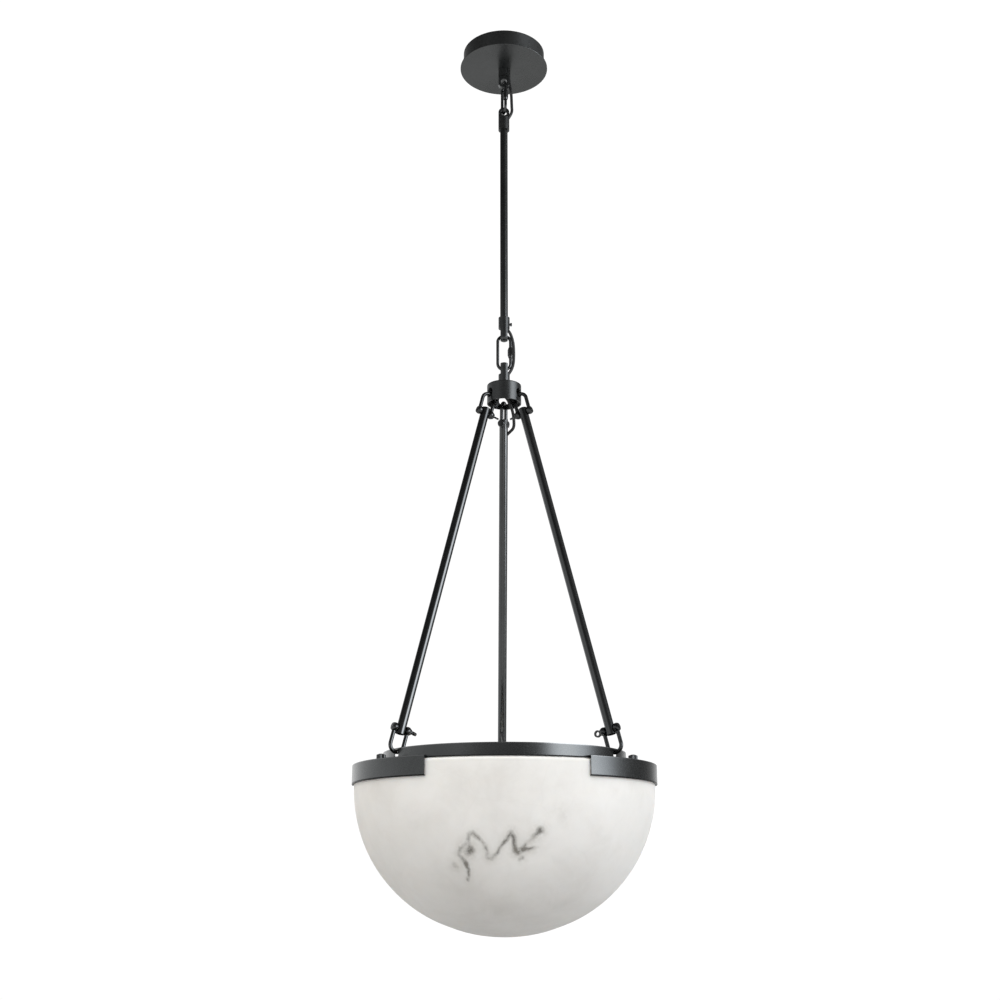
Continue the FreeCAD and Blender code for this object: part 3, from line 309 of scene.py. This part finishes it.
cable("cord_loop_lower_b", [(0.0162, 0.007, -0.565), (0.0162, 0.007, -0.576), (0.0144, 0.0046, -0.589), (0.0099, 0, -0.6003), (0, 0, -0.6135), (0, 0, -0.630)],
      node="cable_loop_lower_b")
cable("cord_hub_loop", [(0, 0, -0.630), (0, 0, -0.6405), (0.0065, 0.002, -0.6485), (0.0115, 0.007, -0.6575), (0.0148, 0.014, -0.6665), (0.0166, 0.023, -0.676), (0.017, 0.0325, -0.686),
                        (0.008996, 0.041285, -0.69138), (0, 0.042285, -0.700), (0, 0.04569, -0.71255)], body="lamp", node="cable_hub_loop")
cable("cord_in_back_rod", [(0, 0.04569, -0.71255), (0, 0.165168, -1.15239)], body="lamp", node="cable_in_back_rod")
cable("cord_bowl", [(0, 0.165168, -1.15239), (0, 0.168838, -1.1659), (0, 0.156838, -1.1749), (0.003, 0.141, -1.190), (0.007, 0.120, -1.204), (0.0095, 0.096, -1.212),
                    (0.0095, 0.070, -1.2135), (0.007, 0.046, -1.209), (0.0036, 0.025, -1.202), (0.0008, 0.008, -1.2025), (0, 0, -1.215), (0, 0, -1.246)],
      body="lamp", node="cable_bowl")


# ------------------------------------------------------------------ alabaster
def alabaster(veins, halos):
    """White stone: soft clouds, fine grain, faint threads and one dark zigzag vein on the front. veins and halos: runs of (angle, height, half width, strength)."""
    m = Mat("alabaster")
    warp = m.n("ShaderNodeTexNoise")
    m.link(m.co, warp.inputs["Vector"])
    warp.inputs["Scale"].default_value = 11.0
    warp.inputs["Detail"].default_value = 3.0
    shift = m.n("ShaderNodeVectorMath", operation="MULTIPLY_ADD")
    m.link(warp.outputs["Color"], shift.inputs[0])
    shift.inputs[1].default_value = (0.06, 0.06, 0.06)
    m.link(m.co, shift.inputs[2])
    wco = shift.outputs[0]
    cloud = m.noise(6.5, 6.0, 0.58, wco)
    cloud2 = m.noise(22.0, 5.0, 0.6, wco, 0.4)
    mottle = m.noise(90.0, 3.0, 0.6)
    base = m.ramp(cloud, [(0.30, (0.622, 0.612, 0.594)), (0.50, (0.704, 0.698, 0.684)), (0.70, (0.774, 0.771, 0.762))])
    base = m.mix(m.span(cloud2, 0.42, 0.70, 0.0, 0.16, True), base, (0.80, 0.80, 0.79))
    base = m.mix(m.span(cloud2, 0.50, 0.26, 0.0, 0.14, True), base, (0.50, 0.478, 0.445))
    # painted light: warmer and a little darker on the left, lighter and cooler on the right, following the lamps
    x, y, z = m.sep()
    base = m.mix(m.span(x, -0.22, 0.18, 0.16, 0.0, True), base, (0.70, 0.675, 0.635))
    base = m.mix(m.span(x, -0.05, 0.22, 0.0, 0.22, True), base, (0.735, 0.748, 0.752))
    # faint threads
    th = m.voronoi(9.0, wco, "DISTANCE_TO_EDGE")
    thread = m.span(th, 0.0, 0.012, 1.0, 0.0, True)
    gate = m.span(m.noise(7.0, 2.0, 0.5), 0.50, 0.62, 0.0, 1.0, True)
    base = m.mix(m.math("MULTIPLY", m.math("MULTIPLY", thread, gate), 0.05), base, (0.46, 0.43, 0.39))
    # the dark vein, as distances to short runs on the unrolled surface
    ang = m.math("ARCTAN2", x, m.math("MULTIPLY", y, -1.0))
    arc = m.math("MULTIPLY", ang, 0.2)
    flat = m.n("ShaderNodeCombineXYZ")
    m.link(arc, flat.inputs[0])
    m.link(z, flat.inputs[1])
    jit = m.n("ShaderNodeTexNoise")
    m.link(m.co, jit.inputs["Vector"])
    jit.inputs["Scale"].default_value = 120.0
    jit.inputs["Detail"].default_value = 4.0
    j2 = m.n("ShaderNodeVectorMath", operation="MULTIPLY_ADD")
    m.link(jit.outputs["Color"], j2.inputs[0])
    j2.inputs[1].default_value = (0.0034, 0.0034, 0.0)
    m.link(flat.outputs[0], j2.inputs[2])
    at = m.n("ShaderNodeVectorMath", operation="SUBTRACT")
    m.link(j2.outputs[0], at.inputs[0])
    at.inputs[1].default_value = (0.0017, 0.0017, 0.0)
    p = at.outputs[0]
    def near_lines(runs):
        """The strongest of all runs at a point, fading with distance."""
        best = None
        for run in runs:
            for (a0, z0, w0, s0), (a1, z1, w1, s1) in zip(run, run[1:]):
                A = Vector((a0 * 0.2, z0, 0.0))
                AB = Vector((a1 * 0.2, z1, 0.0)) - A
                pa = m.n("ShaderNodeVectorMath", operation="SUBTRACT")
                m.link(p, pa.inputs[0])
                pa.inputs[1].default_value = A
                dt = m.n("ShaderNodeVectorMath", operation="DOT_PRODUCT")
                m.link(pa.outputs[0], dt.inputs[0])
                dt.inputs[1].default_value = AB / max(AB.length_squared, 1e-12)
                h = m.math("ADD", dt.outputs["Value"], 0.0, clamp=True)
                back = m.n("ShaderNodeVectorMath", operation="SCALE")
                back.inputs[0].default_value = AB
                m.link(h, back.inputs["Scale"])
                left = m.n("ShaderNodeVectorMath", operation="SUBTRACT")
                m.link(pa.outputs[0], left.inputs[0])
                m.link(back.outputs[0], left.inputs[1])
                ln = m.n("ShaderNodeVectorMath", operation="LENGTH")
                m.link(left.outputs[0], ln.inputs[0])
                wide = m.math("MULTIPLY_ADD", h, w1 - w0, w0)
                amount = m.math("MULTIPLY_ADD", h, s1 - s0, s0)
                near = m.math("SUBTRACT", 1.0, m.math("DIVIDE", ln.outputs["Value"], wide), clamp=True)
                soft = m.math("MULTIPLY", near, amount)
                best = soft if best is None else m.math("MAXIMUM", best, soft)
        return best

    broken = m.math("MULTIPLY", m.span(m.noise(230.0, 4.0, 0.65), 0.30, 0.66, 0.50, 1.15), m.span(m.noise(66.0, 3.0, 0.5), 0.36, 0.62, 0.45, 1.30, True))
    core = m.math("MULTIPLY", m.math("MULTIPLY", near_lines(veins), 1.35), broken, clamp=True)
    smoke = m.math("MULTIPLY", near_lines(halos), m.span(m.noise(85.0, 4.0, 0.6), 0.34, 0.64, 0.25, 1.0, True))
    wide_runs = [[(a, h, w * 2.4, k) for a, h, w, k in run] for run in veins]
    feather = m.math("MULTIPLY", near_lines(wide_runs), m.span(m.noise(140.0, 4.0, 0.65), 0.32, 0.66, 0.25, 1.1, True))
    base = m.mix(m.math("MULTIPLY", feather, 0.42), base, (0.36, 0.345, 0.315))
    base = m.mix(m.math("MULTIPLY", smoke, 0.46), base, (0.40, 0.385, 0.35))
    base = m.mix(m.math("MULTIPLY", core, 0.84), base, m.ramp(cloud2, [(0.35, (0.085, 0.080, 0.073)), (0.65, (0.155, 0.142, 0.122))]))
    grain = m.noise(900.0, 3.0, 0.6)
    base = m.mix(m.span(mottle, 0.40, 0.70, 0.0, 0.06), base, (0.86, 0.86, 0.85))
    rough = m.span(m.math("ADD", m.math("MULTIPLY", cloud2, 0.5), m.math("MULTIPLY", mottle, 0.5)), 0.3, 0.7, 0.50, 0.64)
    nrm = m.bump(grain, 0.06, 0.0002, m.bump(cloud2, 0.04, 0.0012))
    m.p.inputs["Subsurface Weight"].default_value = 0.28
    m.p.inputs["Subsurface Radius"].default_value = (0.014, 0.0115, 0.0095)
    m.p.inputs["Subsurface Scale"].default_value = 1.0
    m.p.inputs["Specular IOR Level"].default_value = 0.30
    return m.done(Base_Color=base, Roughness=rough, Normal=nrm)


VEINS = [
    [(-0.3355, -1.3686, 0.0036, 0.5), (-0.335, -1.3718, 0.0034, 0.6), (-0.3153, -1.3755, 0.0039, 0.75), (-0.2967, -1.3824, 0.0049, 0.95), (-0.287, -1.3899, 0.0039, 0.75), (-0.2919, -1.3957, 0.0039, 0.65), (-0.3077, -1.4035, 0.0039, 0.45)],
    [(-0.3355, -1.3686, 0.0039, 0.5), (-0.3164, -1.3629, 0.0047, 0.55), (-0.2898, -1.3591, 0.0039, 0.5), (-0.2598, -1.354, 0.0039, 0.5), (-0.2522, -1.3456, 0.0047, 0.4), (-0.2252, -1.3431, 0.0052, 0.45), (-0.1887, -1.3502, 0.0047, 0.6), (-0.1612, -1.356, 0.0039, 0.6), (-0.1405, -1.365, 0.0039, 0.5), (-0.1367, -1.3739, 0.0047, 0.6), (-0.1094, -1.3746, 0.0047, 0.5), (-0.0711, -1.3695, 0.0036, 0.6), (-0.0571, -1.3624, 0.0036, 0.7), (-0.0146, -1.3529, 0.0039, 0.7), (0.0154, -1.3426, 0.0052, 0.9), (0.0365, -1.3496, 0.0044, 0.7), (0.0396, -1.3573, 0.0042, 0.65), (0.0489, -1.365, 0.0057, 0.9), (0.0654, -1.3669, 0.0062, 1.0), (0.1087, -1.3643, 0.0052, 0.9), (0.1651, -1.3624, 0.0042, 0.7), (0.1954, -1.3619, 0.0031, 0.35)],
    [(0.1015, -1.3624, 0.0042, 0.5), (0.1193, -1.356, 0.0047, 0.42), (0.1411, -1.3528, 0.0042, 0.45), (0.1704, -1.3477, 0.0052, 0.8), (0.1864, -1.3437, 0.0042, 0.65), (0.2044, -1.3396, 0.007, 0.9), (0.2173, -1.3392, 0.0042, 0.6)],
    [(-0.2706, -1.3668, 0.0068, 1.0), (-0.2486, -1.3649, 0.0075, 1.0)],
    [(-0.2575, -1.3623, 0.0047, 0.8), (-0.2574, -1.3533, 0.0034, 0.5)],
    [(-0.3885, -1.3834, 0.0047, 0.5), (-0.3693, -1.386, 0.0039, 0.45)],
    [(0.0862, -1.3765, 0.0047, 0.5), (0.0993, -1.3746, 0.0047, 0.55)],
]
HALOS = [
    [(-0.3799, -1.3853, 0.0182, 0.55), (-0.3106, -1.3687, 0.0208, 0.7), (-0.2461, -1.3533, 0.0182, 0.6), (-0.1978, -1.3483, 0.013, 0.4)],
    [(-0.0179, -1.3522, 0.013, 0.3), (0.0203, -1.3484, 0.013, 0.5), (0.0689, -1.365, 0.0156, 0.7), (0.1472, -1.3598, 0.0156, 0.6), (0.2053, -1.3418, 0.013, 0.5)],
    [(-0.1564, -1.3624, 0.0104, 0.4), (-0.1264, -1.3739, 0.013, 0.45)],
    [(0.2548, -1.3185, 0.013, 0.3), (0.3101, -1.3092, 0.0156, 0.38), (0.3462, -1.3168, 0.0156, 0.48), (0.3567, -1.3259, 0.013, 0.38)],
]
STONE = alabaster(VEINS, HALOS)


# ------------------------------------------------------------------ the bowl, turned in stone
BOWL_R, BOWL_RIM, BOWL_DEEP, WALL = 0.2252, -1.2436, 0.2395, 0.011
OUTLINE = [(1, 0), (1, .085), (.9975, .170), (.9860, .257), (.9650, .343), (.9355, .426), (.8975, .5055), (.8515, .581), (.7975, .6515), (.7365, .7165),
           (.6695, .776), (.5965, .8285), (.5190, .874), (.4375, .9118), (.3525, .9422), (.2660, .9682), (.1775, .9862), (.0890, .9966), (0, 1)]


def spline(pts, per):
    """A smooth line through points, by centripetal Catmull-Rom."""
    P = [Vector((*p, 0.0)) for p in pts]
    P = [P[0] * 2 - P[1]] + P + [Vector((-P[-2].x, P[-2].y, 0.0))]
    out = []
    for i in range(1, len(P) - 2):
        p0, p1, p2, p3 = P[i - 1:i + 3]
        t0, t1 = 0.0, (p1 - p0).length ** 0.5
        t2 = t1 + (p2 - p1).length ** 0.5
        t3 = t2 + (p3 - p2).length ** 0.5
        for k in range(per):
            t = t1 + (t2 - t1) * k / per
            a1 = p0 * ((t1 - t) / (t1 - t0)) + p1 * ((t - t0) / (t1 - t0))
            a2 = p1 * ((t2 - t) / (t2 - t1)) + p2 * ((t - t1) / (t2 - t1))
            a3 = p2 * ((t3 - t) / (t3 - t2)) + p3 * ((t - t2) / (t3 - t2))
            b1 = a1 * ((t2 - t) / (t2 - t0)) + a2 * ((t - t0) / (t2 - t0))
            b2 = a2 * ((t3 - t) / (t3 - t1)) + a3 * ((t - t1) / (t3 - t1))
            out.append(b1 * ((t2 - t) / (t2 - t1)) + b2 * ((t - t1) / (t2 - t1)))
    out.append(P[-2])
    return [(p.x, p.y) for p in out]


def lathe(name, outline, steps, close=True):
    """A turned mesh from an outline of (radius, height); points on the axis become poles."""
    bm = bmesh.new()
    rings = []
    for r, h in outline:
        if r < 1e-6:
            rings.append([bm.verts.new((0, 0, h))])
        else:
            rings.append([bm.verts.new((r * math.sin(2 * math.pi * k / steps), -r * math.cos(2 * math.pi * k / steps), h)) for k in range(steps)])
    pairs = list(zip(rings, rings[1:]))
    if close:
        pairs.append((rings[-1], rings[0]))
    for a, b in pairs:
        for k in range(steps):
            n = (k + 1) % steps
            if len(a) == 1 and len(b) == 1:
                continue
            if len(a) == 1:
                bm.faces.new((a[0], b[n], b[k]))
            elif len(b) == 1:
                bm.faces.new((a[k], a[n], b[0]))
            else:
                bm.faces.new((a[k], a[n], b[n], b[k]))
    bmesh.ops.recalc_face_normals(bm, faces=bm.faces)
    me = bpy.data.meshes.new(name)
    bm.to_mesh(me)
    bm.free()
    for p in me.polygons:
        p.use_smooth = True
    ob = bpy.data.objects.new(name, me)
    scene.collection.objects.link(ob)
    return ob


outer = [(min(BOWL_R, r * BOWL_R), BOWL_RIM - d * BOWL_DEEP) for r, d in spline(OUTLINE, 5)]
inner = []
for i, (r, h) in enumerate(outer):
    a = outer[max(0, i - 1)]
    b = outer[min(len(outer) - 1, i + 1)]
    tx, tz = b[0] - a[0], b[1] - a[1]
    ln = math.hypot(tx, tz)
    nx, nz = tz / ln, -tx / ln          # inwards
    if nx > 0:
        nx, nz = -nx, -nz
    inner.append((r + nx * WALL, h + nz * WALL if i else h))
inner = [(r, h) for r, h in inner if r > 0.0015]
rim = [(inner[0][0], BOWL_RIM - 0.0020), (inner[0][0] + 0.0006, BOWL_RIM - 0.0006), (inner[0][0] + 0.0020, BOWL_RIM),
       (BOWL_R - 0.0020, BOWL_RIM), (BOWL_R - 0.0006, BOWL_RIM - 0.0006), (BOWL_R, BOWL_RIM - 0.0020)]
line = [(0.0, outer[-1][1] + WALL)] + inner[:0:-1] + rim + outer[1:]
bowl = lathe("bowl_stone", line, 256)
dress(bowl, STONE)
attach(bowl, "lamp")
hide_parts("alabaster_bowl")


# ------------------------------------------------------------------ finishes on the carried nodes
ROD_NODES = ("rod_left", "rod_right", "rod_back", "stem_rod")
LINK_NODES = ("upper_link", "lower_link", "upper_link_sleeve", "lower_link_sleeve", "upper_shackles", "lower_shackles", "upper_shackle_pins", "lower_shackle_pins")
for name, node in frame["nodes"].items():
    if node.hide_render:
        continue
    mat = BY_SLOT.get(SLOT_OF.get(name))
    if name in ROD_NODES:
        mat = GUN_ROD
    elif name in LINK_NODES:
        mat = GUN_DARK
    elif name.startswith("rim_clamp"):
        mat = GUN_CLAMP
    elif name == "inner_ring":
        mat = GUN_RING
    if mat is not None:
        dress(node, mat)


# ------------------------------------------------------------------ floor, world and lights
def panel(name, loc, aim, size, power, colour=(1, 1, 1)):
    d = bpy.data.lights.new(name, "AREA")
    d.shape = "RECTANGLE"
    d.size, d.size_y = size
    d.energy = power
    d.color = colour
    o = bpy.data.objects.new(name, d)
    o.location = loc
    o.rotation_euler = (Vector(aim) - Vector(loc)).to_track_quat("-Z", "Y").to_euler()
    o.visible_camera = False
    scene.collection.objects.link(o)
    return o


# The floor is pale paper far below; it is shown evenly lit, and it throws less light up than it shows.
fm = Mat("floor_paper")
fn = fm.noise(3.0, 2.0)
fm.done(Base_Color=fm.ramp(fn, [(0.3, (0.345, 0.345, 0.345)), (0.7, (0.365, 0.365, 0.365))]), Roughness=0.95)
glow = fm.n("ShaderNodeEmission")
glow.inputs["Color"].default_value = (1, 1, 1, 1)
glow.inputs["Strength"].default_value = 1.02
which = fm.n("ShaderNodeLightPath")
pick = fm.n("ShaderNodeMixShader")
fm.link(which.outputs["Is Camera Ray"], pick.inputs[0])
fm.link(fm.p.outputs[0], pick.inputs[1])
fm.link(glow.outputs[0], pick.inputs[2])
fm.link(pick.outputs[0], fm.out.inputs["Surface"])
fme = bpy.data.meshes.new("floor")
fme.from_pydata([(-14, -14, -2.4), (14, -14, -2.4), (14, 14, -2.4), (-14, 14, -2.4)], [], [(0, 1, 2, 3)])
floor = bpy.data.objects.new("floor", fme)
floor.data.materials.append(fm.m)
scene.collection.objects.link(floor)


def studio():
    """White behind the object, an even dome for soft light, and a darker room with one wide softbox on the right for what polished metal mirrors."""
    w = bpy.data.worlds.new("studio")
    w.use_nodes = True
    t = w.node_tree
    t.nodes.clear()

    def n(kind, **kw):
        k = t.nodes.new(kind)
        for a, b in kw.items():
            setattr(k, a, b)
        return k

    def mth(op, a, b=None):
        k = n("ShaderNodeMath", operation=op)
        for i, v in enumerate((a, b)):
            if v is None:
                continue
            if isinstance(v, (int, float)):
                k.inputs[i].default_value = v
            else:
                t.links.new(v, k.inputs[i])
        return k.outputs[0]

    def ramp(fac, stops):
        k = n("ShaderNodeValToRGB")
        e = k.color_ramp.elements
        while len(e) > 1:
            e.remove(e[-1])
        for i, (pos, c) in enumerate(stops):
            el = e[0] if i == 0 else e.new(pos)
            el.position = pos
            el.color = (*(c if isinstance(c, tuple) else (c, c, c)), 1)
        t.links.new(fac, k.inputs[0])
        return k.outputs["Color"]

    def back(col, strength):
        k = n("ShaderNodeBackground")
        if isinstance(col, tuple):
            k.inputs["Color"].default_value = (*col, 1)
        else:
            t.links.new(col, k.inputs["Color"])
        k.inputs["Strength"].default_value = strength
        return k.outputs[0]

    xyz = n("ShaderNodeSeparateXYZ")
    t.links.new(n("ShaderNodeTexCoord").outputs["Generated"], xyz.inputs[0])
    x, y, z = xyz.outputs
    turn = mth("ARCTAN2", x, mth("MULTIPLY", y, -1.0))          # 0 in front, + to the right
    turn01 = mth("MULTIPLY_ADD", turn, 1 / (2 * math.pi))
    turn01.node.inputs[2].default_value = 0.5
    high = mth("ARCSINE", z)
    high01 = mth("MULTIPLY_ADD", high, 1 / math.pi)
    high01.node.inputs[2].default_value = 0.5

    def az(d):
        return 0.5 + d / 360.0

    def el(d):
        return 0.5 + d / 180.0

    low = ramp(turn01, [(0.0, 0.26), (az(-150), 0.24), (az(-125), 0.17), (az(-75), 0.092), (az(-42), 0.112), (az(-20), 0.048), (az(0), 0.038), (az(22), 0.038),
                        (az(36), 0.085), (az(46), (0.88, 0.90, 0.93)), (az(60), (0.93, 0.945, 0.96)), (az(76), (0.64, 0.665, 0.70)), (az(92), 0.10), (az(110), 0.026), (az(135), 0.035),
                        (az(160), 0.20), (1.0, 0.26)])
    top = ramp(turn01, [(0.0, 0.06), (az(-90), 0.008), (az(-30), 0.012), (az(0), 0.010), (az(60), 0.038), (az(95), 0.056), (az(130), 0.030), (1.0, 0.05)])
    lift = ramp(high01, [(el(14), 0.0), (el(27), 1.0)])
    env = n("ShaderNodeMix", data_type="RGBA")
    t.links.new(lift, env.inputs[0])
    t.links.new(low, env.inputs[6])
    t.links.new(top, env.inputs[7])
    gloss = back(env.outputs[2], 5.0)

    side = ramp(mth("MULTIPLY_ADD", x, 0.5), [(0.05, (0.86, 0.835, 0.790)), (0.5, (0.93, 0.925, 0.91)), (0.95, (1.0, 1.0, 1.0))])
    side.node.inputs[0].links[0].from_node.inputs[2].default_value = 0.5
    dome = back(side, 1.62)

    path = n("ShaderNodeLightPath")
    m1 = n("ShaderNodeMixShader")
    t.links.new(path.outputs["Is Glossy Ray"], m1.inputs[0])
    t.links.new(dome, m1.inputs[1])
    t.links.new(gloss, m1.inputs[2])
    m2 = n("ShaderNodeMixShader")
    t.links.new(path.outputs["Is Camera Ray"], m2.inputs[0])
    t.links.new(m1.outputs[0], m2.inputs[1])
    t.links.new(back((1.0, 1.0, 1.0), 1.05), m2.inputs[2])
    out = n("ShaderNodeOutputWorld")
    t.links.new(m2.outputs[0], out.inputs["Surface"])
    return w


scene.world = studio()
key = panel("key_soft", (1.9, -2.3, 0.2), (0, 0, -1.35), (1.6, 1.6), 14, (0.98, 0.99, 1.0))
key.visible_glossy = False
low_fill = panel("low_fill", (2.0, -1.5, -2.1), (0, 0, -1.38), (1.2, 1.2), 5, (1.0, 1.0, 1.0))
low_fill.visible_glossy = False
